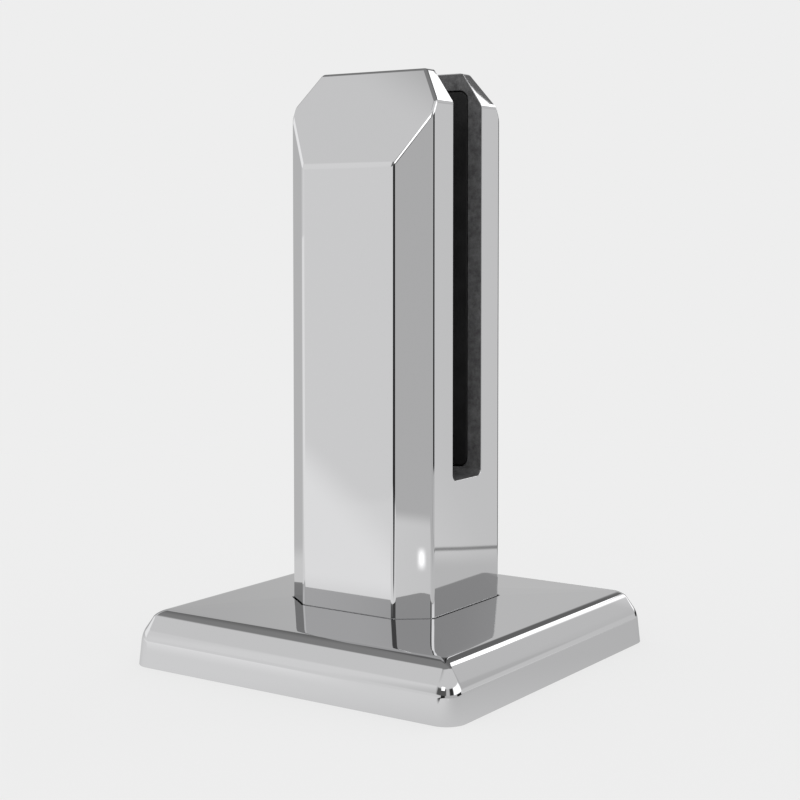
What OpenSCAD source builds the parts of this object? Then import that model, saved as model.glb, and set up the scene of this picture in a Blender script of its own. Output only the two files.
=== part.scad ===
// Friction-fit glass spigot: a cast stainless post that grips a glass panel between
// rubber pads, with a pressed dress cover over its base flange.
// Millimetres, +Z up, origin on the floor under the middle of the post. The glass runs along X.

/* [Post] */
// Width of the post along the glass
post_w = 50; // [42:0.5:60]
// Depth of the post across the glass
post_d = 50; // [44:0.5:60]
// Height of the post above the floor
post_h = 173; // [150:0.5:200]
// Leg of the upright corner chamfers on the front and back faces
corner_x = 9; // [4:0.5:12]
// Leg of the upright corner chamfers on the side faces
corner_y = 7; // [4:0.5:9]

/* [Post top] */
// Height of the sloping front and back faces at the top
slope_h = 27.5; // [18:0.5:34]
// How far those slopes run in towards the slot
slope_run = 13; // [8:0.5:14]
// Width of the chamfer at the two top ends of the slot
tip_x = 6.6; // [3:0.2:9]
// Height of the chamfer at the two top ends of the slot
tip_z = 9.7; // [4:0.1:14]

/* [Glass slot] */
// Clear width between the slot's walls
slot_gap = 15.4; // [14.2:0.1:17]
// Depth of the slot from the top of the post
slot_depth = 118.2; // [95:0.1:122]
// Radius in the slot's floor corners
slot_floor_r = 2; // [0.5:0.1:4]
// Thickness of the glass that it holds
glass_t = 12; // [10:0.5:12]
// Height of the setting block under the glass
block_h = 3; // [2:0.5:6]
// Length of the setting block along the slot
block_l = 26; // [20:1:40]
// How far the setting block stays inside the glass on each side
block_inset = 1.5; // [1.2:0.1:3]

/* [Pad pockets] */
// Metal border left at the pockets' sides
pocket_side = 4.8; // [3:0.1:8]
// Metal border left above the pockets
pocket_top = 5; // [3:0.1:10]
// Metal border left between the pockets and the slot's floor
pocket_foot = 1.8; // [1:0.1:6]
// Corner radius of the pockets
pocket_r = 3; // [1:0.1:6]
// Depth of the front pad's pocket
front_pocket = 2; // [1:0.1:3]
// Gap round the edges of the pads and the plate in their pockets
pad_gap = 0.3; // [0.2:0.05:0.6]

/* [Clamp] */
// Thickness of the pressure plate
plate_t = 2; // [1.5:0.1:2.5]
// Thickness of the rear pad
rear_pad_t = 1.4; // [1:0.1:2]
// How far the rear pad's face lies under the slot's wall when slack
rear_recess = 0.3; // [0.1:0.1:0.6]
// Thread diameter of the set screws
screw_d = 10; // [6:1:12]
// Length of the set screws
screw_l = 12; // [8:0.5:13]
// Chamfer at both ends of a set screw
screw_chamfer = 1; // [0.5:0.1:1.5]
// Radial running gap of a set screw in its thread
thread_gap = 0.05; // [0.02:0.01:0.1]
// Hexagon key size of the set screws, across flats
key_af = 5; // [3:0.5:5]
// Depth of the key socket
key_depth = 5; // [3:0.5:6]
// Height of the lower set screw above the slot's floor
screw_up = 30; // [20:1:40]
// Distance between the two set screws
screw_spacing = 46; // [30:1:50]

/* [Base flange] */
// Side of the square flange
flange_w = 100; // [90:1:120]
// Thickness of the flange
flange_t = 7; // [6:0.5:12]
// Corner radius of the flange
flange_r = 10; // [4:0.5:16]
// Distance between neighbouring bolt holes
bolt_spacing = 76; // [70:1:80]
// Diameter of the bolt holes
bolt_d = 11; // [9:0.5:12]
// Cast flare where the post meets the flange
root_flare = 4; // [2:0.5:5]

/* [Dress cover] */
// How far the cover's foot stands out past the flange
cover_reach = 6; // [5:0.5:15]
// Thickness of the cover's sheet
sheet_t = 1.2; // [0.8:0.1:1.5]
// Gap between the cover's opening and the post
cover_gap = 0.4; // [0.2:0.1:1]
// Corner radius of the cover's foot, seen from above
cover_r = 6.2; // [4:0.2:12]
// Corner radius of the cover's top, seen from above
top_r = 1.5; // [0.5:0.1:4]
// Height of the bend in the cover's side above the flange
bend_rise = 2.2; // [0.5:0.1:4]
// How far the side leans in from the foot to the bend
bend_in = 1; // [0.2:0.1:2]
// Radius of that bend
bend_r = 4; // [2:0.5:6]
// Height of the cover's top edge above the flange
edge_rise = 8.85; // [7:0.05:11]
// How far the side leans in from the foot to the top edge
edge_in = 5.6; // [4:0.1:8]
// Radius of the top edge
edge_r = 5; // [2:0.1:6]
// Height of the crowned top at the post above the flange
crown_rise = 10; // [9.5:0.05:14]

/* [Hidden] */
$fn = 48;
// Steps in each rounded bend of the cover
bend_steps = 5;
// Facets of the cover's rounded corners, all the way round
cover_facets = 40;
// Thickness of the slices that the cover is drawn through
slice = 0.01;
// Overshoot of cuts past the faces that they open
cut = 1;

slot_floor = post_h - slot_depth;
slot_wall = slot_gap / 2;
pocket_w = post_w - 2 * pocket_side;
pocket_h = slot_depth - pocket_top - pocket_foot;
pocket_mid = slot_floor + pocket_foot + pocket_h / 2;
rear_pocket = plate_t + rear_pad_t + rear_recess;
plate_back = slot_wall + rear_pocket;
front_pad_t = front_pocket + (slot_gap - glass_t) / 2;
block_w = glass_t - 2 * block_inset;
screw_heights = [slot_floor + screw_up, slot_floor + screw_up + screw_spacing];
cover_w = flange_w + 2 * cover_reach;
// The cover's section, as inset from its foot and height above the floor
cover_line = [
    [0, 0],
    [bend_in, flange_t + bend_rise],
    [edge_in, flange_t + edge_rise],
    [(cover_w - post_w) / 2, flange_t + crown_rise]
];

polished = "#c9cacc";
cast_matte = "#8f9092";
rubber = "#1a1a1b";
dark_steel = "#3a3b3d";

// Leg of a corner chamfer once every face of the post has moved out by grow
function grown_leg(leg, other, grow) = leg + grow * (1 - (norm([leg, other]) - leg) / other);

function unit(v) = v / norm(v);

// Left-hand normal of a run from a to b
function side_normal(a, b) = let (u = unit(b - a)) [-u[1], u[0]];

// Corner of two runs that have both moved sideways by t
function moved_corner(a, b, c, t) =
    let (n = side_normal(a, b), m = side_normal(b, c))
    b + t * (n + m) / (1 + n * m);

// The same line moved in by the thickness t of its sheet, with its two ends kept level
function moved_line(p, t) =
    let (first = side_normal(p[0], p[1]), last = side_normal(p[2], p[3]))
    [
        p[0] - [t / first[0], 0],
        moved_corner(p[0], p[1], p[2], -t),
        moved_corner(p[1], p[2], p[3], -t),
        p[3] - [0, t / last[1]]
    ];

// Arc of radius r that rounds the corner b between a and c
function rounded_corner(a, b, c, r) =
    let (
        u = unit(a - b),
        v = unit(c - b),
        half = acos(u * v) / 2,
        centre = b + unit(u + v) * r / sin(half),
        start = b + u * r / tan(half) - centre,
        finish = b + v * r / tan(half) - centre,
        a0 = atan2(start[1], start[0]),
        turn = atan2(cross(start, finish), start * finish)
    )
    [for (i = [0 : bend_steps]) let (t = a0 + turn * i / bend_steps) centre + r * [cos(t), sin(t)]];

// The cover's section with its bend and its top edge rounded
function rounded_line(p, r_bend, r_edge) = concat(
    [p[0]],
    rounded_corner(p[0], p[1], p[2], r_bend),
    rounded_corner(p[1], p[2], p[3], r_edge),
    [p[3]]
);

// Corner radius of the cover where its side has leant in by inset
function cover_corner(inset) = max(cover_r - inset, top_r);

// Outline of the post from above, with every face moved out by grow
module post_section(grow = 0) {
    hw = post_w / 2 + grow;
    hd = post_d / 2 + grow;
    lx = grown_leg(corner_x, corner_y, grow);
    ly = grown_leg(corner_y, corner_x, grow);
    polygon([
        [hw, -hd + ly], [hw, hd - ly], [hw - lx, hd], [-hw + lx, hd],
        [-hw, hd - ly], [-hw, -hd + ly], [-hw + lx, -hd], [hw - lx, -hd]
    ]);
}

// Rectangle with round corners, centred on the origin
module rounded_rect(w, h, r) {
    square([w - 2 * r, h], center = true);
    square([w, h - 2 * r], center = true);
    for (x = [-1, 1], y = [-1, 1])
        translate([x * (w / 2 - r), y * (h / 2 - r)]) circle(r);
}

// Draws a section across the glass all along the post, with its first axis on Y and its second on Z
module along_glass(length) {
    rotate([90, 0, 90]) linear_extrude(length, center = true) children();
}

// Draws an outline on a slot wall as a slab of thickness t that reaches from y towards -Y
module on_slot_wall(y, t) {
    translate([0, y, pocket_mid]) rotate([90, 0, 0]) linear_extrude(t) children();
}

// The post before it is slotted: its outline, its side view and its front view meet
module post_block() {
    hw = post_w / 2;
    hd = post_d / 2;
    intersection() {
        linear_extrude(post_h) post_section();
        along_glass(post_w)
            polygon([
                [-hd, 0], [hd, 0], [hd, post_h - slope_h], [hd - slope_run, post_h],
                [-hd + slope_run, post_h], [-hd, post_h - slope_h]
            ]);
        rotate([90, 0, 0]) linear_extrude(post_d, center = true)
            polygon([
                [-hw, 0], [hw, 0], [hw, post_h - tip_z], [hw - tip_x, post_h],
                [-hw + tip_x, post_h], [-hw, post_h - tip_z]
            ]);
    }
}

module base_flange() {
    linear_extrude(flange_t) difference() {
        rounded_rect(flange_w, flange_w, flange_r);
        for (x = [-1, 1], y = [-1, 1])
            translate([x, y] * bolt_spacing / 2) circle(d = bolt_d);
    }
    hull() {
        linear_extrude(flange_t) post_section(root_flare);
        linear_extrude(flange_t + root_flare) post_section();
    }
}

// Slot for the glass, open at the top and at both sides, with round floor corners
module slot_cut() {
    along_glass(post_w + 2 * cut) {
        translate([-slot_wall, slot_floor + slot_floor_r])
            square([slot_gap, slot_depth - slot_floor_r + cut]);
        translate([-slot_wall + slot_floor_r, slot_floor])
            square([slot_gap - 2 * slot_floor_r, 2 * slot_floor_r]);
        for (y = [-1, 1])
            translate([y * (slot_wall - slot_floor_r), slot_floor + slot_floor_r]) circle(slot_floor_r);
    }
}

module spigot_body() {
    color(polished) difference() {
        union() {
            post_block();
            base_flange();
        }
        slot_cut();
        on_slot_wall(plate_back, rear_pocket + cut) rounded_rect(pocket_w, pocket_h, pocket_r);
        on_slot_wall(cut - slot_wall, front_pocket + cut) rounded_rect(pocket_w, pocket_h, pocket_r);
        for (z = screw_heights)
            translate([0, slot_wall, z]) rotate([-90, 0, 0])
                cylinder(h = post_d / 2, r = screw_d / 2 + thread_gap);
    }
}

// A solid dish drawn through the rounded squares that its section gives
module dish(line) {
    hull() for (p = line)
        translate([0, 0, p[1]]) linear_extrude(slice)
            rounded_rect(cover_w - 2 * p[0], cover_w - 2 * p[0], cover_corner(p[0]), $fn = cover_facets);
}

module dress_cover() {
    inner = moved_line(cover_line, sheet_t);
    color(polished) difference() {
        dish(rounded_line(cover_line, bend_r, edge_r));
        translate([0, 0, -slice]) dish(rounded_line(inner, bend_r - sheet_t, edge_r - sheet_t));
        linear_extrude(flange_t + crown_rise + cut) post_section(cover_gap);
    }
}

// Outline of what lies in a pad pocket
module pocket_fill() {
    rounded_rect(pocket_w - 2 * pad_gap, pocket_h - 2 * pad_gap, pocket_r - pad_gap);
}

module front_pad() {
    color(rubber) on_slot_wall(front_pad_t - front_pocket - slot_wall, front_pad_t) pocket_fill();
}

module setting_block() {
    color(rubber) translate([-block_l / 2, -block_w / 2, slot_floor]) cube([block_l, block_w, block_h]);
}

module pressure_plate() {
    color(cast_matte) on_slot_wall(plate_back, plate_t) pocket_fill();
}

module rear_pad() {
    color(rubber) on_slot_wall(plate_back - plate_t, rear_pad_t) pocket_fill();
}

// A headless screw along Y, its point on the pressure plate
module set_screw(z) {
    r = screw_d / 2;
    color(dark_steel) translate([0, plate_back, z]) rotate([-90, 0, 0]) difference() {
        rotate_extrude()
            polygon([
                [0, 0], [r - screw_chamfer, 0], [r, screw_chamfer],
                [r, screw_l - screw_chamfer], [r - screw_chamfer, screw_l], [0, screw_l]
            ]);
        translate([0, 0, screw_l - key_depth])
            cylinder(h = key_depth + cut, d = key_af / cos(30), $fn = 6);
    }
}

module upper_set_screw() { set_screw(screw_heights[1]); }

module lower_set_screw() { set_screw(screw_heights[0]); }

spigot_body();
dress_cover();
front_pad();
setting_block();
pressure_plate();
rear_pad();
upper_set_screw();
lower_set_screw();
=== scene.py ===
"""Square glass spigot: a polished post that grips a glass panel, with cover, pads and set screws."""

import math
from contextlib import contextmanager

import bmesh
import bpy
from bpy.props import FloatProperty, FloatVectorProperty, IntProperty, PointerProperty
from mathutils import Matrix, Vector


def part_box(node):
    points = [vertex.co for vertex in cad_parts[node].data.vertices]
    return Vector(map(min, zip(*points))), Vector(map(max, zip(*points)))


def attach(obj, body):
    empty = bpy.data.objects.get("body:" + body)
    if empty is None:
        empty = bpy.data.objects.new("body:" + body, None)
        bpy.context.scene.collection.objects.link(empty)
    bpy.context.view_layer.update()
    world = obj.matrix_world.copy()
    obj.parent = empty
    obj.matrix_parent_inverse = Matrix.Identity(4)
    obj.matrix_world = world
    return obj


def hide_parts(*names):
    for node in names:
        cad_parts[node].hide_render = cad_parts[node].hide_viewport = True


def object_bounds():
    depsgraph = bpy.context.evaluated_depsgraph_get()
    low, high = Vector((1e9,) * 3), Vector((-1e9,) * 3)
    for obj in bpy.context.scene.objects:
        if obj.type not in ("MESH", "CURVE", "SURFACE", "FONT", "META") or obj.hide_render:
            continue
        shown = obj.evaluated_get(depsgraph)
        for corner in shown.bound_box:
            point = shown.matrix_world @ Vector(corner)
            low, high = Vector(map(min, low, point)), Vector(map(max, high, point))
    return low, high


bl_info = {
    "name": "Glass Spigot",
    "version": (1, 0, 0),
    "blender": (4, 5, 0),
    "location": "View3D > Sidebar > Glass Spigot",
    "description": "Models and finishes a square glass spigot around its CAD frame, in a small studio",
    "category": "Object",
}

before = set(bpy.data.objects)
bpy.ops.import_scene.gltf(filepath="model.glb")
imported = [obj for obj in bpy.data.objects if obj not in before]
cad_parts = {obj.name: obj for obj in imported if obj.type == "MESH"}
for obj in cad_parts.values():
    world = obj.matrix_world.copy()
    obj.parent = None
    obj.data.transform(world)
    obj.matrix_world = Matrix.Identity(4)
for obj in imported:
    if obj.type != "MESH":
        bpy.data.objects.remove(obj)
cad_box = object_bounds()

MM = 0.001
# Slack for telling by its place which face, edge or vertex is meant
NEAR = 0.02 * MM
# Vertices that are closer than this are one
WELD = 0.005 * MM
# Degrees between two faces above which they no longer count as flat, and above which they make an edge, a
# sharp edge and a square edge
FLAT = 0.5
EDGE = 15
SHARP = 30
SQUARE = 60
# Degrees up to which an edge is shaded smooth
SMOOTH = 35
# Material slots of a piece that is polished on some faces only
POLISHED = 0
RAW = 1
# Turns of thread that are cut beyond each end of a set screw before its ends are trimmed
SPARE_TURNS = 2

cover_low, cover_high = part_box("dress_cover")
screw_low, screw_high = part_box("upper_set_screw")
# The pressure plate lies on the floor of its pocket, and the setting block on the floor of the slot
pocket_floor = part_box("pressure_plate")[1].y
slot_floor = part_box("setting_block")[0].z


# Colours


def colour(code):
    """Turns an sRGB hex code such as #CCCCCD into linear red, green, blue and alpha."""
    channels = [int(code[i : i + 2], 16) / 255 for i in (1, 3, 5)]
    linear = [c / 12.92 if c <= 0.04045 else ((c + 0.055) / 1.055) ** 2.4 for c in channels]
    return (*linear, 1.0)


def swatch(name, description, code):
    """A colour setting that starts from a hex code."""
    return FloatVectorProperty(
        name=name, description=description, default=colour(code), size=4, min=0, max=1, subtype="COLOR"
    )


def length(name, description, size_mm):
    """A length setting that starts from a size in millimetres."""
    return FloatProperty(
        name=name, description=description, default=size_mm * MM, min=0, precision=5, unit="LENGTH"
    )


# Settings


class CastingSettings(bpy.types.PropertyGroup):
    """Edges of the cast post and its flange."""

    crease_round: length("Crease rounding", "How far the bend below each slope is rounded", 2.4)
    edge_round: length("Edge rounding", "How far the other polished edges are rounded", 1.8)
    mouth_round: length("Mouth rounding", "Rounding of the edges of the slot and the screw holes", 0.4)
    rim_round: length("Rim rounding", "Rounding of the unpolished edges of the pockets and flange", 0.3)
    root_height: length("Root height", "Height above the floor where the cast flare meets the post", 11)
    bore_radius: length("Screw hole radius", "Radius of the holes for the set screws", 5.05)
    steps: IntProperty(name="Steps", description="Facets across each rounded edge", default=6, min=1)
    rim_steps: IntProperty(name="Rim steps", description="Facets across each rounded rim", default=2, min=1)


class CoverSettings(bpy.types.PropertyGroup):
    """Section and outline of the pressed dress cover."""

    sheet: length("Sheet", "Thickness of the sheet", 1.2)
    foot_radius: length("Foot radius", "Corner radius of the foot, seen from above", 6.2)
    top_radius: length("Top radius", "Corner radius of the top, seen from above", 1.5)
    bend_height: length("Bend height", "Height of the bend in the side", 9.2)
    bend_inset: length("Bend inset", "How far the side leans in up to the bend", 1.0)
    bend_radius: length("Bend radius", "Radius of the bend in the side", 8.0)
    edge_height: length("Edge height", "Height of the top edge", 15.85)
    edge_inset: length("Edge inset", "How far the side leans in up to the top edge", 5.6)
    edge_radius: length("Edge radius", "Radius of the top edge", 5.0)
    opening: length("Opening", "Width of the eight-sided opening for the post", 50.8)
    opening_leg_x: length("Opening leg X", "Leg of the opening's corner cuts along the glass", 9.26)
    opening_leg_y: length("Opening leg Y", "Leg of the opening's corner cuts across the glass", 7.2)
    rim_round: length("Rim rounding", "Rounding of the sheet's cut edges", 0.25)
    rim_steps: IntProperty(name="Rim steps", description="Facets across each cut edge", default=3, min=1)
    bend_steps: IntProperty(name="Bend steps", description="Facets across each bend", default=8, min=1)
    corner_steps: IntProperty(name="Corner steps", description="Facets round each corner", default=14, min=2)
    side_cuts: IntProperty(name="Side cuts", description="Cuts across each straight side", default=9, min=1)
    crown_cuts: IntProperty(name="Crown cuts", description="Cuts from edge to opening", default=9, min=1)


class LiningSettings(bpy.types.PropertyGroup):
    """Rubber parts and the steel plate that lie in the slot."""

    corner_radius: length("Corner radius", "Corner radius of the pads and the plate", 2.7)
    rubber_round: length("Rubber rounding", "Rounding of the rubber's edges", 0.45)
    plate_round: length("Plate rounding", "Rounding of the plate's edges", 0.25)
    corner_steps: IntProperty(name="Corner steps", description="Facets round each corner", default=10, min=1)
    edge_steps: IntProperty(name="Edge steps", description="Facets across each edge", default=3, min=1)


class ScrewSettings(bpy.types.PropertyGroup):
    """Headless set screws with a hexagon socket."""

    pitch: length("Pitch", "Advance of the thread in one turn", 1.5)
    thread_depth: length("Thread depth", "Depth of the thread below the screw's outside", 0.92)
    crest_cut: length("Crest cut", "How far the thread's sharp crest is cut back", 0.12)
    chamfer: length("Chamfer", "Chamfer at both ends", 1.0)
    key_width: length("Key width", "Width of the hexagon socket across flats", 5.0)
    key_depth: length("Key depth", "Depth of the hexagon socket", 5.0)
    steps: IntProperty(name="Steps", description="Facets in one turn of the thread", default=48, min=8)


class FinishSettings(bpy.types.PropertyGroup):
    """Colours of the finishes."""

    polished: swatch("Polished casting", "Mirror-polished cast stainless steel", "#CCCCCD")
    sheet: swatch("Polished sheet", "Mirror-polished stainless sheet of the cover", "#CACACB")
    glancing: swatch("Glancing tint", "Tint of the polished steel at a glancing angle", "#E2E2E2")
    cast_light: swatch("Cast steel, light", "Light patches of the unpolished casting", "#838384")
    cast_dark: swatch("Cast steel, dark", "Dark patches of the unpolished casting", "#525253")
    mill: swatch("Mill steel", "Dull rolled sheet inside the cover", "#9A9A9B")
    machined: swatch("Machined steel", "Plate and set screws", "#8E9092")
    rubber: swatch("Rubber", "Black moulded rubber", "#121213")
    rubber_bloom: swatch("Rubber bloom", "Greyish bloom on the rubber", "#202021")


class StageSettings(bpy.types.PropertyGroup):
    """Camera, floor and light of the studio."""

    camera_place: FloatVectorProperty(
        name="Camera place", description="Where the camera stands", default=(0.27538, -0.40209, 0.12686),
        precision=5, subtype="TRANSLATION", unit="LENGTH",
    )
    camera_turn: FloatProperty(
        name="Camera turn", description="Turn of the camera about the vertical",
        default=math.radians(34.273), subtype="ANGLE",
    )
    camera_dip: FloatProperty(
        name="Camera dip", description="How far the camera looks down",
        default=math.radians(2.856), subtype="ANGLE",
    )
    lens: FloatProperty(name="Lens", description="Focal length in millimetres", default=73.579, min=1)
    lens_shift: FloatProperty(
        name="Lens shift", description="Upright shift of the lens, in frame widths", default=-0.11
    )
    floor_size: length("Floor size", "Side of the square floor", 60000)
    backdrop: swatch("Backdrop", "Pale floor and backdrop", "#EEEEEE")
    paper: swatch("Paper", "Paper of the floor close to the object", "#FAFAFA")
    softbox: FloatProperty(name="Softbox", description="Brightness, where 1 is white", default=2.0, min=0)


# Modelling helpers


@contextmanager
def editing(piece, parts="VERT"):
    """Opens one piece in edit mode with nothing selected, and closes it again."""
    select_only(piece)
    bpy.ops.object.mode_set(mode="EDIT")
    bpy.ops.mesh.select_mode(type=parts)
    bpy.ops.mesh.select_all(action="DESELECT")
    yield
    bpy.ops.object.mode_set(mode="OBJECT")


def select_only(piece):
    """Makes a piece the only selected object and the active one."""
    bpy.ops.object.select_all(action="DESELECT")
    piece.select_set(True)
    bpy.context.view_layer.objects.active = piece


def pick(piece, kind, test):
    """In edit mode, selects the verts, edges or faces that pass a test, and nothing else."""
    bpy.ops.mesh.select_all(action="DESELECT")
    mesh = bmesh.from_edit_mesh(piece.data)
    chosen = [part for part in getattr(mesh, kind) if test(part)]
    if not chosen:
        raise RuntimeError(f"{piece.name}: none of its {kind} is where it should be")
    for part in chosen:
        part.select_set(True)
    bmesh.update_edit_mesh(piece.data)


def sharper_than(degrees):
    """A test for edges whose two faces meet at more than an angle."""
    return lambda edge: edge.is_manifold and edge.calc_face_angle() > math.radians(degrees)


def apply_modifier(piece, kind, **settings):
    """Adds a modifier to a piece, sets it up and applies it."""
    select_only(piece)
    bpy.ops.object.modifier_add(type=kind)
    modifier = piece.modifiers[-1]
    for name, value in settings.items():
        setattr(modifier, name, value)
    bpy.ops.object.modifier_apply(modifier=modifier.name)


def combine(piece, operation, tool):
    """Cuts a piece with a tool, and throws the tool away."""
    apply_modifier(piece, "BOOLEAN", operation=operation, object=tool, solver="EXACT")
    bpy.data.objects.remove(tool)


def shade(piece):
    """Smooth shading up to an angle, with the flat faces kept flat beside their rounded edges."""
    select_only(piece)
    bpy.ops.object.shade_smooth_by_angle(angle=math.radians(SMOOTH))
    apply_modifier(piece, "WEIGHTED_NORMAL", keep_sharp=True, weight=100)


def new_primitive(add, name, stretch=(1, 1, 1), **settings):
    """Adds and names a primitive with nothing else selected, its place and stretch moved into its mesh."""
    bpy.ops.object.select_all(action="DESELECT")
    add(**settings)
    piece = bpy.context.object
    piece.name = name
    piece.scale = stretch
    bpy.ops.object.transform_apply(location=True, rotation=True, scale=True)
    return piece


def merged_copy(node, name):
    """A copy of a CAD solid as clean faces: its loose triangles merged and its flat areas made whole."""
    piece = bpy.data.objects.new(name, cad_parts[node].data.copy())
    bpy.context.scene.collection.objects.link(piece)
    piece.data.materials.clear()
    select_only(piece)
    bpy.ops.mesh.customdata_custom_splitnormals_clear()
    with editing(piece):
        bpy.ops.mesh.select_all(action="SELECT")
        bpy.ops.mesh.remove_doubles(threshold=WELD)
        bpy.ops.mesh.dissolve_limited(angle_limit=math.radians(FLAT))
    return piece


def give_material(piece, *materials):
    """Puts materials into the slots of a piece, in order."""
    for material in materials:
        piece.data.materials.append(material)


def fit(piece, body, node):
    """Lets a finished piece stand for its CAD node and move with its body."""
    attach(piece, body)
    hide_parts(node)


# Materials

# What has been made so far, by the function that makes it
made = {}


def add_node(tree, kind, inputs=None, **settings):
    """Adds a node with its settings, and fills its inputs or links them to a socket or a node's result."""
    node = tree.nodes.new(kind)
    for name, value in settings.items():
        setattr(node, name, value)
    for socket, value in (inputs or {}).items():
        if isinstance(value, bpy.types.Node):
            value = next(output for output in value.outputs if output.enabled)
        if isinstance(value, bpy.types.NodeSocket):
            tree.links.new(value, node.inputs[socket])
        else:
            node.inputs[socket].default_value = value
    return node


def new_material(name):
    """An empty material of that name, its node tree and the Object coordinates."""
    material = bpy.data.materials.new(name)
    material.use_nodes = True
    tree = material.node_tree
    tree.nodes.clear()
    place = add_node(tree, "ShaderNodeTexCoord").outputs["Object"]
    return material, tree, place


def finish(make):
    """The material that a function makes, made once and shared."""
    if make not in made:
        made[make] = make(bpy.context.scene.spigot_finish)
    return made[make]


def per_mm(size_mm):
    """Noise scale whose features are about that many millimetres across."""
    return 1 / (size_mm * MM)


def mirror_polished(name, steel_colour, glancing_colour):
    """Stainless steel, ground and buffed on a wheel."""
    # The eye sees a clear mirror, greyer than silver, that darkens a little towards a glancing angle.
    # Buffing leaves long shallow waves that bend straight reflections a little, and a faint uneven haze.
    material, tree, place = new_material(name)
    waves = add_node(tree, "ShaderNodeTexNoise", {"Vector": place, "Scale": per_mm(24), "Detail": 1.0})
    relief = add_node(tree, "ShaderNodeBump", {"Height": waves, "Strength": 1.0, "Distance": 0.012 * MM})
    haze = add_node(tree, "ShaderNodeTexNoise", {"Vector": place, "Scale": per_mm(9), "Detail": 3.0})
    roughness = add_node(tree, "ShaderNodeMapRange", {"Value": haze, "To Min": 0.015, "To Max": 0.04})
    steel = add_node(
        tree,
        "ShaderNodeBsdfPrincipled",
        {
            "Base Color": steel_colour,
            "Metallic": 1.0,
            "Specular Tint": glancing_colour,
            "Roughness": roughness,
            "Normal": relief,
        },
    )
    add_node(tree, "ShaderNodeOutputMaterial", {"Surface": steel})
    return material


def mirror_polished_casting(colours):
    """The post's outer faces."""
    return mirror_polished("mirror-polished cast stainless steel", colours.polished, colours.glancing)


def mirror_polished_sheet(colours):
    """The cover's outer face, whose rolled steel is just a shade greyer than the casting."""
    return mirror_polished("mirror-polished stainless sheet", colours.sheet, colours.glancing)


def as_cast_stainless(colours):
    """Investment-cast stainless steel as it leaves the shot blast, inside the slot and under the cover."""
    # The eye sees a dull grey skin, mottled in patches of a millimetre or two and finely pitted.
    # The pits of the blast are finer than this, and are drawn coarser so that they show.
    material, tree, place = new_material("as-cast stainless steel")
    patches = add_node(
        tree, "ShaderNodeTexNoise", {"Vector": place, "Scale": per_mm(2.2), "Detail": 6.0, "Roughness": 0.75}
    )
    mottling = add_node(
        tree, "ShaderNodeMapRange", {"Value": patches, "From Min": 0.32, "From Max": 0.68}
    )
    skin = add_node(
        tree,
        "ShaderNodeMix",
        {"Factor": mottling, "A": colours.cast_dark, "B": colours.cast_light},
        data_type="RGBA",
    )
    pits = add_node(tree, "ShaderNodeTexNoise", {"Vector": place, "Scale": per_mm(0.7), "Detail": 4.0})
    relief = add_node(tree, "ShaderNodeBump", {"Height": pits, "Strength": 0.8, "Distance": 0.12 * MM})
    roughness = add_node(tree, "ShaderNodeMapRange", {"Value": patches, "To Min": 0.5, "To Max": 0.72})
    steel = add_node(
        tree,
        "ShaderNodeBsdfPrincipled",
        {"Base Color": skin, "Metallic": 0.4, "Roughness": roughness, "Normal": relief},
    )
    add_node(tree, "ShaderNodeOutputMaterial", {"Surface": steel})
    return material


def mill_finish_stainless(colours):
    """Cold-rolled stainless sheet with its dull mill surface, left bare inside the cover."""
    # The eye sees a soft grey sheen that runs in the rolling direction.
    # The streaks are drawn coarser than they are, so that they show.
    material, tree, place = new_material("mill-finish stainless sheet")
    rolling = add_node(tree, "ShaderNodeMapping", {"Vector": place, "Scale": (0.05, 1.0, 1.0)})
    streaks = add_node(
        tree, "ShaderNodeTexNoise", {"Vector": rolling, "Scale": per_mm(0.8), "Detail": 3.0}
    )
    roughness = add_node(tree, "ShaderNodeMapRange", {"Value": streaks, "To Min": 0.28, "To Max": 0.45})
    relief = add_node(
        tree, "ShaderNodeBump", {"Height": streaks, "Strength": 0.5, "Distance": 0.01 * MM}
    )
    steel = add_node(
        tree,
        "ShaderNodeBsdfPrincipled",
        {"Base Color": colours.mill, "Metallic": 1.0, "Roughness": roughness, "Normal": relief},
    )
    add_node(tree, "ShaderNodeOutputMaterial", {"Surface": steel})
    return material


def machined_steel(colours):
    """Plain stainless steel with the marks of the cutter, on the pressure plate and the set screws."""
    # The eye sees a satin grey with fine parallel lines.
    # They are drawn coarser than the cutter leaves them, so that they show.
    material, tree, place = new_material("plain machined stainless steel")
    cutting = add_node(tree, "ShaderNodeMapping", {"Vector": place, "Scale": (0.04, 1.0, 1.0)})
    lines = add_node(
        tree, "ShaderNodeTexNoise", {"Vector": cutting, "Scale": per_mm(0.5), "Detail": 4.0}
    )
    roughness = add_node(tree, "ShaderNodeMapRange", {"Value": lines, "To Min": 0.22, "To Max": 0.42})
    relief = add_node(tree, "ShaderNodeBump", {"Height": lines, "Strength": 0.6, "Distance": 0.02 * MM})
    steel = add_node(
        tree,
        "ShaderNodeBsdfPrincipled",
        {"Base Color": colours.machined, "Metallic": 1.0, "Roughness": roughness, "Normal": relief},
    )
    add_node(tree, "ShaderNodeOutputMaterial", {"Surface": steel})
    return material


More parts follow.
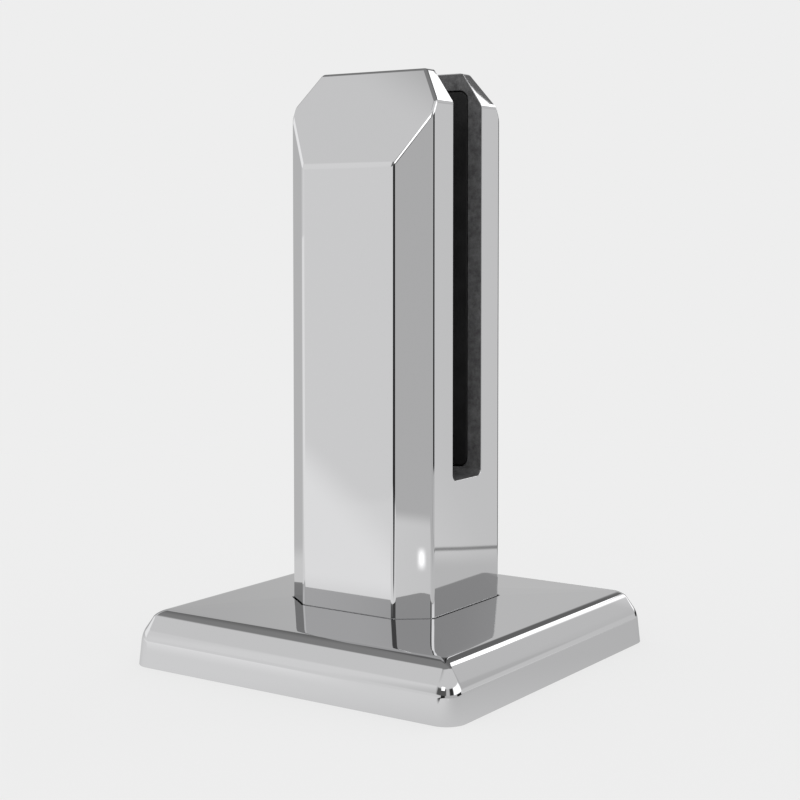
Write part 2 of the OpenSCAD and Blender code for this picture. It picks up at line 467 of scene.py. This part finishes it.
def moulded_rubber(colours):
    """Black synthetic rubber, pressed in a mould with a fine matte grain."""
    # The eye sees near black with a soft sheen, and a patchy grey bloom.
    # The grain of the mould is finer than this, and is drawn coarser so that it shows.
    material, tree, place = new_material("black moulded rubber")
    bloom = add_node(
        tree, "ShaderNodeTexNoise", {"Vector": place, "Scale": per_mm(6), "Detail": 4.0, "Roughness": 0.6}
    )
    patches = add_node(tree, "ShaderNodeMapRange", {"Value": bloom, "From Min": 0.4, "From Max": 0.75})
    skin = add_node(
        tree,
        "ShaderNodeMix",
        {"Factor": patches, "A": colours.rubber, "B": colours.rubber_bloom},
        data_type="RGBA",
    )
    grain = add_node(tree, "ShaderNodeTexNoise", {"Vector": place, "Scale": per_mm(0.45), "Detail": 2.0})
    relief = add_node(tree, "ShaderNodeBump", {"Height": grain, "Strength": 0.5, "Distance": 0.06 * MM})
    roughness = add_node(tree, "ShaderNodeMapRange", {"Value": bloom, "To Min": 0.5, "To Max": 0.75})
    rubber = add_node(
        tree,
        "ShaderNodeBsdfPrincipled",
        {"Base Color": skin, "Roughness": roughness, "IOR": 1.52, "Normal": relief},
    )
    add_node(tree, "ShaderNodeOutputMaterial", {"Surface": rubber})
    return material


# Stage

# What the polished steel shows of the studio all round it: pairs of a bearing, in degrees from -Y towards
# +X, and a level, where 1 is white. The walls near the ground are pale, with black flags, and the far floor
# is painted with the same pale and black levels, seen only by the polished steel
LOW_WALLS = (
    (-180, 0.80), (-176, 0.80), (-174, 0.02), (-158, 0.02), (-155, 0.80), (-112, 0.79), (-60, 1.02),
    (-44, 1.02), (-38, 0.97), (0, 0.95), (4, 0.02), (24, 0.02), (28, 0.65), (93, 0.67), (96, 0.02),
    (124, 0.02), (127, 0.96), (139, 0.93), (144, 0.87), (149, 0.87), (152.5, 0.86), (154.5, 0.02),
    (175, 0.02), (177.5, 0.80),
)
# The walls a little higher up, with bright windows
HIGH_WALLS = (
    (-180, 0.82), (-149, 0.86), (-137, 0.72), (-124, 0.53), (-100, 0.53), (-92, 1.3), (-64, 1.3),
    (-52, 0.97), (-46, 0.97), (-42, 1.03), (-36, 1.02), (-33, 0.86), (-26, 0.60), (-20, 0.14), (30, 0.14),
    (35, 0.74), (50, 0.74), (56, 0.05), (74, 0.05), (80, 2.0), (126, 2.0), (136, 0.64), (147, 0.68),
    (149, 0.70), (150, 0.78), (158, 0.83), (161, 2.0), (173, 2.0), (176, 0.50),
)
# How many metres from the middle the far floor starts, by the same bearings
FLOOR_EDGE = (
    (-180, 0.17), (-90, 0.17), (-60, 0.235), (-34, 0.31), (0, 0.375), (4, 0.375), (10, 0.14), (17, 0.14),
    (24, 0.34), (60, 0.235), (90, 0.17), (94, 0.17), (98, 0.42), (122, 0.42), (126, 0.17),
)
# How many metres the soft lamps stand from the post
LAMP_DISTANCE = 1.2


def grey(level):
    """A neutral colour of that level."""
    return (level, level, level, 1.0)


def by_bearing(tree, x, y, pairs):
    """A value that changes round the room, from pairs of a bearing and the value there."""
    front = add_node(tree, "ShaderNodeMath", {0: y, 1: -1.0}, operation="MULTIPLY")
    bearing = add_node(tree, "ShaderNodeMath", {0: x, 1: front}, operation="ARCTAN2")
    turn = add_node(
        tree, "ShaderNodeMapRange", {"Value": bearing, "From Min": -math.pi, "From Max": math.pi}
    )
    ramp = add_node(tree, "ShaderNodeValToRGB", {"Fac": turn})
    stops = ramp.color_ramp.elements
    while len(stops) < len(pairs):
        stops.new(1.0)
    for stop, (degrees, value) in zip(stops, pairs):
        stop.position = (degrees + 180) / 360
        stop.color = grey(value)
    return ramp


def stripe(tree, value, centre, inner, outer, level):
    """A level that holds up to the inner distance from a centre value, and fades to 0 at the outer one."""
    offset = add_node(tree, "ShaderNodeMath", {0: value, 1: centre}, operation="SUBTRACT")
    gap = add_node(tree, "ShaderNodeMath", {0: offset}, operation="ABSOLUTE")
    return add_node(
        tree,
        "ShaderNodeMapRange",
        {"Value": gap, "From Min": inner, "From Max": outer, "To Min": level, "To Max": 0.0},
        interpolation_type="SMOOTHSTEP",
    )


def studio_floor(stage):
    """Pale seamless paper that keeps a soft shadow near the object and fades into the backdrop."""
    material, tree, place = new_material("pale studio paper")
    spot = add_node(tree, "ShaderNodeSeparateXYZ", {"Vector": place})
    x, y = spot.outputs["X"], spot.outputs["Y"]
    reach = add_node(tree, "ShaderNodeVectorMath", {0: place}, operation="LENGTH")
    paper = add_node(tree, "ShaderNodeBsdfDiffuse", {"Color": stage.paper})
    glow = add_node(tree, "ShaderNodeEmission", {"Color": stage.backdrop})
    fade = add_node(
        tree,
        "ShaderNodeMapRange",
        {"Value": reach, "From Min": 0.1, "From Max": 0.5, "To Min": 0.8, "To Max": 1.0},
        interpolation_type="SMOOTHSTEP",
    )
    seen = add_node(tree, "ShaderNodeMixShader", {0: fade, 1: paper, 2: glow})
    # What only the polished steel shows, in metres on the floor along three directions: painted light and
    # shade.
    # The paper close by has painted light in front on the left and painted shade behind on the right, and
    # the far paper is painted as dark or pale as its wall
    across, slant, aside = (
        add_node(tree, "ShaderNodeVectorMath", {0: place, 1: direction}, operation="DOT_PRODUCT")
        for direction in ((1, 1, 0), (1, -1, 0), (0.74, 0.67, 0))
    )
    near = add_node(
        tree,
        "ShaderNodeMapRange",
        {"Value": across, "From Min": -0.12, "From Max": 0.12, "To Min": 1.01, "To Max": 0.76},
        interpolation_type="SMOOTHSTEP",
    )
    far = by_bearing(tree, x, y, LOW_WALLS)
    edge = by_bearing(tree, x, y, FLOOR_EDGE)
    beyond = add_node(tree, "ShaderNodeMath", {0: reach, 1: edge}, operation="SUBTRACT")
    away = add_node(
        tree,
        "ShaderNodeMapRange",
        {"Value": beyond, "From Min": -0.02, "From Max": 0.02},
        interpolation_type="SMOOTHSTEP",
    )
    # A pool of light in front on the left
    ahead = add_node(
        tree,
        "ShaderNodeMapRange",
        {"Value": y, "From Min": -0.13, "From Max": -0.09, "To Min": 1.0, "To Max": 0.0},
        interpolation_type="SMOOTHSTEP",
    )
    pool = add_node(
        tree,
        "ShaderNodeMapRange",
        {"Value": slant, "From Min": 0.07, "From Max": 0.11, "To Min": ahead, "To Max": 0.0},
        interpolation_type="SMOOTHSTEP",
    )
    # A small bright glint painted on the floor in front on the right, and one opposite, which only the
    # polished steel shows
    along_glint = stripe(tree, reach, centre=0.199, inner=0.004, outer=0.026, level=1.0)
    painted_glint = stripe(tree, aside, centre=0.0039, inner=0.0, outer=0.0024, level=along_glint)
    # A dark line painted on the floor behind on the right, which only the polished steel shows
    right = add_node(
        tree,
        "ShaderNodeMapRange",
        {"Value": x, "From Min": 0.04, "From Max": 0.07, "To Min": 0.0, "To Max": 0.75},
        interpolation_type="SMOOTHSTEP",
    )
    painted_dark_line = stripe(tree, across, centre=0.266, inner=0.0013, outer=0.008, level=right)
    level = near
    for share, paint in ((away, far), (pool, grey(1.16)), (painted_glint, grey(2.0)), (painted_dark_line, grey(0.2))):
        level = add_node(tree, "ShaderNodeMix", {"Factor": share, "A": level, "B": paint}, data_type="RGBA")
    mirrored = add_node(tree, "ShaderNodeEmission", {"Color": level})
    ray = add_node(tree, "ShaderNodeLightPath")
    both = add_node(tree, "ShaderNodeMixShader", {0: ray.outputs["Is Glossy Ray"], 1: seen, 2: mirrored})
    add_node(tree, "ShaderNodeOutputMaterial", {"Surface": both})
    return material


def studio_walls(stage):
    """World light: a room of walls, windows and ceiling for the polished steel, and a plain backdrop."""
    world = bpy.data.worlds.new("studio")
    bpy.context.scene.world = world
    world.use_nodes = True
    tree = world.node_tree
    tree.nodes.clear()
    way = add_node(tree, "ShaderNodeTexCoord").outputs["Generated"]
    axes = add_node(tree, "ShaderNodeSeparateXYZ", {"Vector": way})
    x, y, z = (axes.outputs[name] for name in "XYZ")
    # The ceiling starts lower and is darker at the back, and starts higher on the camera's side
    back = add_node(tree, "ShaderNodeMath", {0: y, 1: 0.0}, operation="MAXIMUM")
    to_camera = add_node(
        tree, "ShaderNodeVectorMath", {0: way, 1: (0.7, -0.5, 0)}, operation="DOT_PRODUCT"
    )
    camera_side = add_node(tree, "ShaderNodeMath", {0: to_camera, 1: 0.0}, operation="MAXIMUM")
    lowered = add_node(tree, "ShaderNodeMath", {0: camera_side, 1: -0.35, 2: z}, operation="MULTIPLY_ADD")
    height = add_node(tree, "ShaderNodeMath", {0: back, 1: 0.28, 2: lowered}, operation="MULTIPLY_ADD")
    ceiling = add_node(
        tree,
        "ShaderNodeMapRange",
        {"Value": y, "From Min": 0.0, "From Max": 0.6, "To Min": 0.32, "To Max": 0.20},
        interpolation_type="SMOOTHSTEP",
    )
    # From the low walls up: each layer fades in over the one below while a rise goes from start to end
    room = by_bearing(tree, x, y, LOW_WALLS)
    layers = (
        (z, 0.09, 0.15, by_bearing(tree, x, y, HIGH_WALLS)),
        (z, 0.48, 0.56, grey(0.90)),
        (height, 0.68, 0.74, ceiling),
    )
    for rise, start, end, layer in layers:
        share = add_node(
            tree,
            "ShaderNodeMapRange",
            {"Value": rise, "From Min": start, "From Max": end},
            interpolation_type="SMOOTHSTEP",
        )
        room = add_node(tree, "ShaderNodeMix", {"Factor": share, "A": room, "B": layer}, data_type="RGBA")
    ray = add_node(tree, "ShaderNodeLightPath")
    seen = add_node(
        tree,
        "ShaderNodeMix",
        {"Factor": ray.outputs["Is Glossy Ray"], "A": stage.backdrop, "B": room},
        data_type="RGBA",
    )
    light = add_node(tree, "ShaderNodeBackground", {"Color": seen})
    add_node(tree, "ShaderNodeOutputWorld", {"Surface": light})


def softbox(name, bearing, rise, width, height, brightness):
    """A soft lamp that looks at the middle of the post from a bearing and a rise, both in degrees."""
    aim = Vector((0, 0, cad_box[1].z / 2))
    turn = math.radians(bearing)
    tilt = math.radians(rise)
    away = Vector((math.sin(turn) * math.cos(tilt), -math.cos(turn) * math.cos(tilt), math.sin(tilt)))
    bpy.ops.object.select_all(action="DESELECT")
    bpy.ops.object.light_add(
        type="AREA", location=aim + away * LAMP_DISTANCE, rotation=away.to_track_quat("Z", "Y").to_euler()
    )
    lamp = bpy.context.object
    lamp.name = name
    lamp.visible_camera = False
    lamp.data.shape = "RECTANGLE"
    lamp.data.size = width
    lamp.data.size_y = height
    # A lamp of this power looks as bright as a white surface at brightness 1
    lamp.data.energy = brightness * math.pi * width * height


class SPIGOT_OT_stage(bpy.types.Operator):
    """Sets up the camera, the floor and the studio light"""

    bl_idname = "spigot.stage"
    bl_label = "Stage"

    def execute(self, context):
        stage = context.scene.spigot_stage
        bpy.ops.object.select_all(action="DESELECT")
        bpy.ops.object.camera_add(
            location=stage.camera_place,
            rotation=(math.pi / 2 - stage.camera_dip, 0, stage.camera_turn),
        )
        camera = context.object
        camera.name = "camera"
        camera.data.lens = stage.lens
        camera.data.shift_y = stage.lens_shift
        camera.data.clip_start = 10 * MM
        context.scene.camera = camera
        context.scene.view_settings.view_transform = "Standard"

        floor = new_primitive(bpy.ops.mesh.primitive_plane_add, "floor", size=stage.floor_size)
        give_material(floor, studio_floor(stage))
        studio_walls(stage)
        softbox("back_softbox", bearing=163.2, rise=32, width=0.28, height=0.33, brightness=stage.softbox)
        softbox("front_softbox", bearing=15, rise=27, width=0.40, height=0.28, brightness=stage.softbox)
        return {"FINISHED"}


# Pieces


class SPIGOT_OT_casting(bpy.types.Operator):
    """Makes the cast post and flange, with polished outer faces and an unpolished slot"""

    bl_idname = "spigot.casting"
    bl_label = "Casting"

    def execute(self, context):
        sizes = context.scene.spigot_casting
        piece = merged_copy("spigot_body", "casting")
        give_material(piece, finish(mirror_polished_casting), finish(as_cast_stainless))
        with editing(piece, "FACE"):
            pick(piece, "faces", lambda face: self.unpolished(face, sizes))
            piece.active_material_index = RAW
            bpy.ops.object.material_slot_assign()
            bpy.ops.mesh.select_mode(type="EDGE")
            pick(piece, "edges", self.rim)
            bpy.ops.mesh.bevel(offset=sizes.rim_round, segments=sizes.rim_steps, material=RAW)
            # The widest rounding has a bevel weight of 1, and each pick adds to the weight of its edges
            pick(piece, "edges", self.polished)
            bpy.ops.transform.edge_bevelweight(value=sizes.edge_round / sizes.crease_round)
            pick(piece, "edges", self.crease)
            bpy.ops.transform.edge_bevelweight(value=1 - sizes.edge_round / sizes.crease_round)
            pick(piece, "edges", self.mouth)
            bpy.ops.transform.edge_bevelweight(value=sizes.mouth_round / sizes.crease_round)
        apply_modifier(
            piece,
            "BEVEL",
            limit_method="WEIGHT",
            width=sizes.crease_round,
            segments=sizes.steps,
            material=POLISHED,
        )
        shade(piece)
        fit(piece, "spigot", "spigot_body")
        return {"FINISHED"}

    @staticmethod
    def unpolished(face, sizes):
        """True inside the slot, its pockets and the screw holes, and on the flange with its flare."""
        corners = [vert.co for vert in face.verts]
        in_slot = all(abs(p.y) < pocket_floor + NEAR and p.z > slot_floor - NEAR for p in corners)
        on_flange = all(p.z < sizes.root_height + NEAR for p in corners)
        in_bore = any(
            all(math.hypot(p.x, p.z - height) < sizes.bore_radius + NEAR and p.y > 0 for p in corners)
            for height in screw_heights()
        )
        return in_slot or on_flange or in_bore

    @staticmethod
    def raw_faces(edge):
        """How many of an edge's faces are unpolished."""
        return sum(face.material_index == RAW for face in edge.link_faces)

    def polished(self, edge):
        """True on an edge between two polished faces."""
        return self.raw_faces(edge) == 0 and sharper_than(EDGE)(edge)

    def crease(self, edge):
        """True where a slope bends into the face below it, the bluntest of the polished edges."""
        return self.polished(edge) and not sharper_than(SHARP)(edge)

    def mouth(self, edge):
        """True where a polished face meets the slot, a screw hole or the flare."""
        return self.raw_faces(edge) == 1 and sharper_than(EDGE)(edge)

    def rim(self, edge):
        """True on a square outer edge between unpolished faces, above the floor."""
        lifted = all(vert.co.z > NEAR for vert in edge.verts)
        return lifted and self.raw_faces(edge) == 2 and edge.is_convex and sharper_than(SQUARE)(edge)


def screw_heights():
    """Heights of the two set screws' axes."""
    boxes = (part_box("lower_set_screw"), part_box("upper_set_screw"))
    return [(low.z + high.z) / 2 for low, high in boxes]


def rounded_corner(before, corner, after, radius, steps):
    """Points of the arc that rounds a corner of a section line."""
    back, ahead = (before - corner).normalized(), (after - corner).normalized()
    half = back.angle(ahead) / 2
    centre = corner + (back + ahead).normalized() * radius / math.sin(half)
    start = (corner + back * radius / math.tan(half) - centre).normalized()
    end = (corner + ahead * radius / math.tan(half) - centre).normalized()
    return [centre + radius * start.slerp(end, i / steps) for i in range(steps + 1)]


class SPIGOT_OT_cover(bpy.types.Operator):
    """Presses the dress cover: a bent rim, a crowned top and an eight-sided opening"""

    bl_idname = "spigot.cover"
    bl_label = "Dress cover"

    def execute(self, context):
        sizes = context.scene.spigot_cover
        width = cover_high.x - cover_low.x
        piece = new_primitive(bpy.ops.mesh.primitive_plane_add, "pressed_cover", size=width)
        with editing(piece):
            bpy.ops.mesh.select_all(action="SELECT")
            bpy.ops.mesh.bevel(offset=sizes.foot_radius, segments=sizes.corner_steps, affect="VERTICES")
            self.cut_sides(piece, sizes, width / 2)
            self.raise_rim(piece, sizes, width)
            self.close_crown(piece, sizes)
            bpy.ops.mesh.select_all(action="SELECT")
            bpy.ops.mesh.normals_make_consistent(inside=False)
        give_material(piece, finish(mirror_polished_sheet), finish(mill_finish_stainless))
        apply_modifier(
            piece, "SOLIDIFY", thickness=sizes.sheet, offset=-1, use_even_offset=True, material_offset=RAW
        )
        with editing(piece):
            pick(piece, "verts", lambda vert: vert.co.z < NEAR)
            bpy.ops.transform.resize(value=(1, 1, 0), center_override=(0, 0, 0))
        apply_modifier(
            piece,
            "BEVEL",
            limit_method="ANGLE",
            angle_limit=math.radians(SQUARE),
            width=sizes.rim_round,
            segments=sizes.rim_steps,
        )
        shade(piece)
        fit(piece, "cover", "dress_cover")
        return {"FINISHED"}

    @staticmethod
    def cut_sides(piece, sizes, half):
        """Cuts the straight sides into even lengths, and leaves only the outline, selected."""
        bpy.ops.mesh.select_mode(type="EDGE")
        pick(piece, "edges", lambda edge: edge.calc_length() > half / 2)
        bpy.ops.mesh.subdivide(number_cuts=sizes.side_cuts)
        bpy.ops.mesh.select_all(action="SELECT")
        bpy.ops.mesh.delete(type="ONLY_FACE")
        bpy.ops.mesh.select_all(action="SELECT")

    @classmethod
    def raise_rim(cls, piece, sizes, width):
        """Extrudes the foot's outline up the rounded section of the rim."""
        foot = Vector((0, 0))
        bend = Vector((sizes.bend_inset, sizes.bend_height))
        edge = Vector((sizes.edge_inset, sizes.edge_height))
        crown = Vector(((width - sizes.opening) / 2, cover_high.z))
        line = [foot]
        line += rounded_corner(foot, bend, edge, sizes.bend_radius, sizes.bend_steps)
        line += rounded_corner(bend, edge, crown, sizes.edge_radius, sizes.bend_steps)
        half = width / 2
        for below, above in zip(line, line[1:]):
            bpy.ops.mesh.extrude_edges_move(TRANSFORM_OT_translate={"value": (0, 0, above.y - below.y)})
            radius = sizes.foot_radius - above.x
            if radius > sizes.top_radius:
                factor = radius / (sizes.foot_radius - below.x)
                cls.set_in(piece, above.y, half - sizes.foot_radius, factor)
            else:
                scale = (half - above.x) / (half - below.x)
                bpy.ops.transform.resize(value=(scale, scale, 1), center_override=(0, 0, above.y))

    @staticmethod
    def set_in(piece, height, centre, factor):
        """Moves a ring in evenly: whatever lies beyond the centres of its corners shrinks towards them."""

        def on_ring(edge):
            return all(abs(vert.co.z - height) < NEAR for vert in edge.verts)

        def beyond(edge):
            return all(vert.co[axis] * side > centre - NEAR for vert in edge.verts)

        for axis in (0, 1):
            for side in (-1, 1):
                pick(piece, "edges", lambda edge: on_ring(edge) and beyond(edge))
                shrink, pivot = Vector((1, 1, 1)), Vector((0, 0, 0))
                shrink[axis], pivot[axis] = factor, side * centre
                bpy.ops.transform.resize(value=shrink, center_override=pivot)
        pick(piece, "edges", on_ring)

    @staticmethod
    def close_crown(piece, sizes):
        """Adds the eight-sided opening and bridges the crown from the rim to it."""
        rim_height = max(vert.co.z for vert in bmesh.from_edit_mesh(piece.data).verts)
        stretch = sizes.opening_leg_x / sizes.opening_leg_y
        bpy.ops.mesh.select_all(action="DESELECT")
        bpy.ops.mesh.primitive_plane_add(size=sizes.opening, location=(0, 0, cover_high.z))
        # Equal corner cuts on a stretched outline become uneven ones when it is squeezed back
        bpy.ops.transform.resize(value=(1, stretch, 1))
        bpy.ops.mesh.select_mode(type="VERT")
        bpy.ops.mesh.bevel(offset=sizes.opening_leg_x, segments=1, affect="VERTICES")
        bpy.ops.transform.resize(value=(1, 1 / stretch, 1))
        bpy.ops.mesh.delete(type="ONLY_FACE")
        bpy.ops.mesh.select_mode(type="EDGE")

        def on_opening(edge):
            return all(vert.co.z > cover_high.z - NEAR for vert in edge.verts)

        def slanted(edge):
            run = edge.verts[0].co - edge.verts[1].co
            return abs(run.x) > NEAR and abs(run.y) > NEAR

        pick(piece, "edges", lambda edge: on_opening(edge) and slanted(edge))
        bpy.ops.mesh.subdivide(number_cuts=sizes.corner_steps - 1)
        pick(piece, "edges", lambda edge: on_opening(edge) and not slanted(edge))
        bpy.ops.mesh.subdivide(number_cuts=sizes.side_cuts)
        pick(piece, "edges", lambda edge: all(vert.co.z > rim_height - NEAR for vert in edge.verts))
        bpy.ops.mesh.bridge_edge_loops(number_cuts=sizes.crown_cuts, interpolation="LINEAR")


def slab(name, node, edge_round, sizes, round_corners=True):
    """A slab as large as a CAD node, its corners rounded in the glass's plane and its edges softened."""
    low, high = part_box(node)
    piece = new_primitive(
        bpy.ops.mesh.primitive_cube_add, name, size=1, location=(low + high) / 2, stretch=high - low
    )
    with editing(piece, "EDGE"):
        if round_corners:
            pick(piece, "edges", lambda edge: abs(edge.verts[0].co.y - edge.verts[1].co.y) > NEAR)
            bpy.ops.mesh.bevel(offset=sizes.corner_radius, segments=sizes.corner_steps)
        pick(piece, "edges", sharper_than(SQUARE))
        bpy.ops.mesh.bevel(offset=edge_round, segments=sizes.edge_steps)
    shade(piece)
    return piece


class SPIGOT_OT_lining(bpy.types.Operator):
    """Makes the rubber pads, the setting block and the steel pressure plate in the slot"""

    bl_idname = "spigot.lining"
    bl_label = "Slot lining"

    def execute(self, context):
        sizes = context.scene.spigot_lining
        parts = (
            ("front_rubber", "front_pad", "spigot", True),
            ("rear_rubber", "rear_pad", "clamp", True),
            ("block_rubber", "setting_block", "spigot", False),
        )
        for name, node, body, round_corners in parts:
            piece = slab(name, node, sizes.rubber_round, sizes, round_corners)
            give_material(piece, finish(moulded_rubber))
            fit(piece, body, node)
        plate = slab("steel_plate", "pressure_plate", sizes.plate_round, sizes)
        give_material(plate, finish(machined_steel))
        fit(plate, "clamp", "pressure_plate")
        return {"FINISHED"}


class SPIGOT_OT_screws(bpy.types.Operator):
    """Cuts a threaded set screw with a hexagon socket, and puts a copy into each hole"""

    bl_idname = "spigot.screws"
    bl_label = "Set screws"

    def execute(self, context):
        sizes = context.scene.spigot_screw
        model = self.model(sizes)
        for node, body in (("upper_set_screw", "upper_screw"), ("lower_set_screw", "lower_screw")):
            piece = model.copy()
            piece.data = model.data.copy()
            piece.name = node + "_threaded"
            context.scene.collection.objects.link(piece)
            low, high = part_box(node)
            with editing(piece):
                bpy.ops.mesh.select_all(action="SELECT")
                bpy.ops.transform.translate(value=(0, low.y, (low.z + high.z) / 2))
            give_material(piece, finish(machined_steel))
            fit(piece, body, node)
        bpy.data.objects.remove(model)
        return {"FINISHED"}

    def model(self, sizes):
        """One screw along +Y, its point at the origin."""
        radius = (screw_high.x - screw_low.x) / 2
        reach = screw_high.y - screw_low.y
        screw = self.threaded_rod(sizes, radius, reach)
        blank = new_primitive(
            bpy.ops.mesh.primitive_cylinder_add,
            "blank",
            vertices=sizes.steps,
            radius=radius - NEAR,
            depth=reach,
            location=(0, reach / 2, 0),
            rotation=(math.pi / 2, 0, 0),
        )
        with editing(blank, "EDGE"):
            pick(blank, "edges", sharper_than(SQUARE))
            bpy.ops.mesh.bevel(offset=sizes.chamfer, segments=1)
        combine(screw, "INTERSECT", blank)
        socket = new_primitive(
            bpy.ops.mesh.primitive_cylinder_add,
            "socket",
            vertices=6,
            radius=sizes.key_width / 2 / math.cos(math.pi / 6),
            depth=sizes.key_depth * 2,
            location=(0, reach, 0),
            rotation=(math.pi / 2, 0, 0),
        )
        combine(screw, "DIFFERENCE", socket)
        shade(screw)
        return screw

    @staticmethod
    def threaded_rod(sizes, radius, reach):
        """A closed rod with a full thread that is longer than the screw at both ends."""
        pitch = sizes.pitch
        root = radius - sizes.thread_depth
        rod = new_primitive(
            bpy.ops.mesh.primitive_plane_add, "set_screw", size=pitch, location=(root + pitch / 2, 0, 0)
        )
        with editing(rod):
            pick(rod, "verts", lambda vert: vert.co.x > root + NEAR)
            bpy.ops.mesh.delete(type="VERT")
            bpy.ops.mesh.select_all(action="SELECT")
            bpy.ops.mesh.subdivide(number_cuts=1)
            pick(rod, "verts", lambda vert: abs(vert.co.y) < NEAR)
            bpy.ops.transform.translate(value=(sizes.thread_depth + sizes.crest_cut, 0, 0))
            bpy.ops.mesh.select_all(action="SELECT")
            bpy.ops.transform.translate(value=(0, -SPARE_TURNS * pitch, 0))
        apply_modifier(
            rod,
            "SCREW",
            axis="Y",
            screw_offset=pitch,
            iterations=math.ceil(reach / pitch) + 2 * SPARE_TURNS,
            steps=sizes.steps,
            render_steps=sizes.steps,
        )
        with editing(rod):
            bpy.ops.mesh.select_all(action="SELECT")
            bpy.ops.mesh.remove_doubles(threshold=WELD)
            for end, outwards in ((-pitch / 2, -1), (reach + pitch / 2, 1)):
                bpy.ops.mesh.select_all(action="SELECT")
                bpy.ops.mesh.bisect(
                    plane_co=(0, end, 0), plane_no=(0, outwards, 0), use_fill=True, clear_outer=True
                )
            bpy.ops.mesh.select_all(action="SELECT")
            bpy.ops.mesh.normals_make_consistent(inside=False)
        return rod


# Add-on


class VIEW3D_PT_spigot(bpy.types.Panel):
    """Lists the settings and the steps of the glass spigot"""

    bl_label = "Glass Spigot"
    bl_space_type = "VIEW_3D"
    bl_region_type = "UI"
    bl_category = "Glass Spigot"

    def draw(self, context):
        for operator, group in STEPS:
            box = self.layout.box()
            box.operator(operator.bl_idname)
            settings = getattr(context.scene, group)
            for name in settings.__annotations__:
                box.prop(settings, name)
        box = self.layout.box()
        box.label(text="Finish")
        for name in FinishSettings.__annotations__:
            box.prop(context.scene.spigot_finish, name)


STEPS = (
    (SPIGOT_OT_stage, "spigot_stage"),
    (SPIGOT_OT_casting, "spigot_casting"),
    (SPIGOT_OT_cover, "spigot_cover"),
    (SPIGOT_OT_lining, "spigot_lining"),
    (SPIGOT_OT_screws, "spigot_screw"),
)
SETTINGS = {
    "spigot_stage": StageSettings,
    "spigot_casting": CastingSettings,
    "spigot_cover": CoverSettings,
    "spigot_lining": LiningSettings,
    "spigot_screw": ScrewSettings,
    "spigot_finish": FinishSettings,
}
CLASSES = (*SETTINGS.values(), *(operator for operator, group in STEPS), VIEW3D_PT_spigot)


def register():
    for cls in CLASSES:
        bpy.utils.register_class(cls)
    for name, group in SETTINGS.items():
        setattr(bpy.types.Scene, name, PointerProperty(type=group))


def unregister():
    for name in SETTINGS:
        delattr(bpy.types.Scene, name)
    for cls in reversed(CLASSES):
        bpy.utils.unregister_class(cls)


def main():
    """Builds the stage and every piece."""
    register()
    bpy.ops.spigot.stage()
    bpy.ops.spigot.casting()
    bpy.ops.spigot.cover()
    bpy.ops.spigot.lining()
    bpy.ops.spigot.screws()


if __name__ == "__main__":
    main()
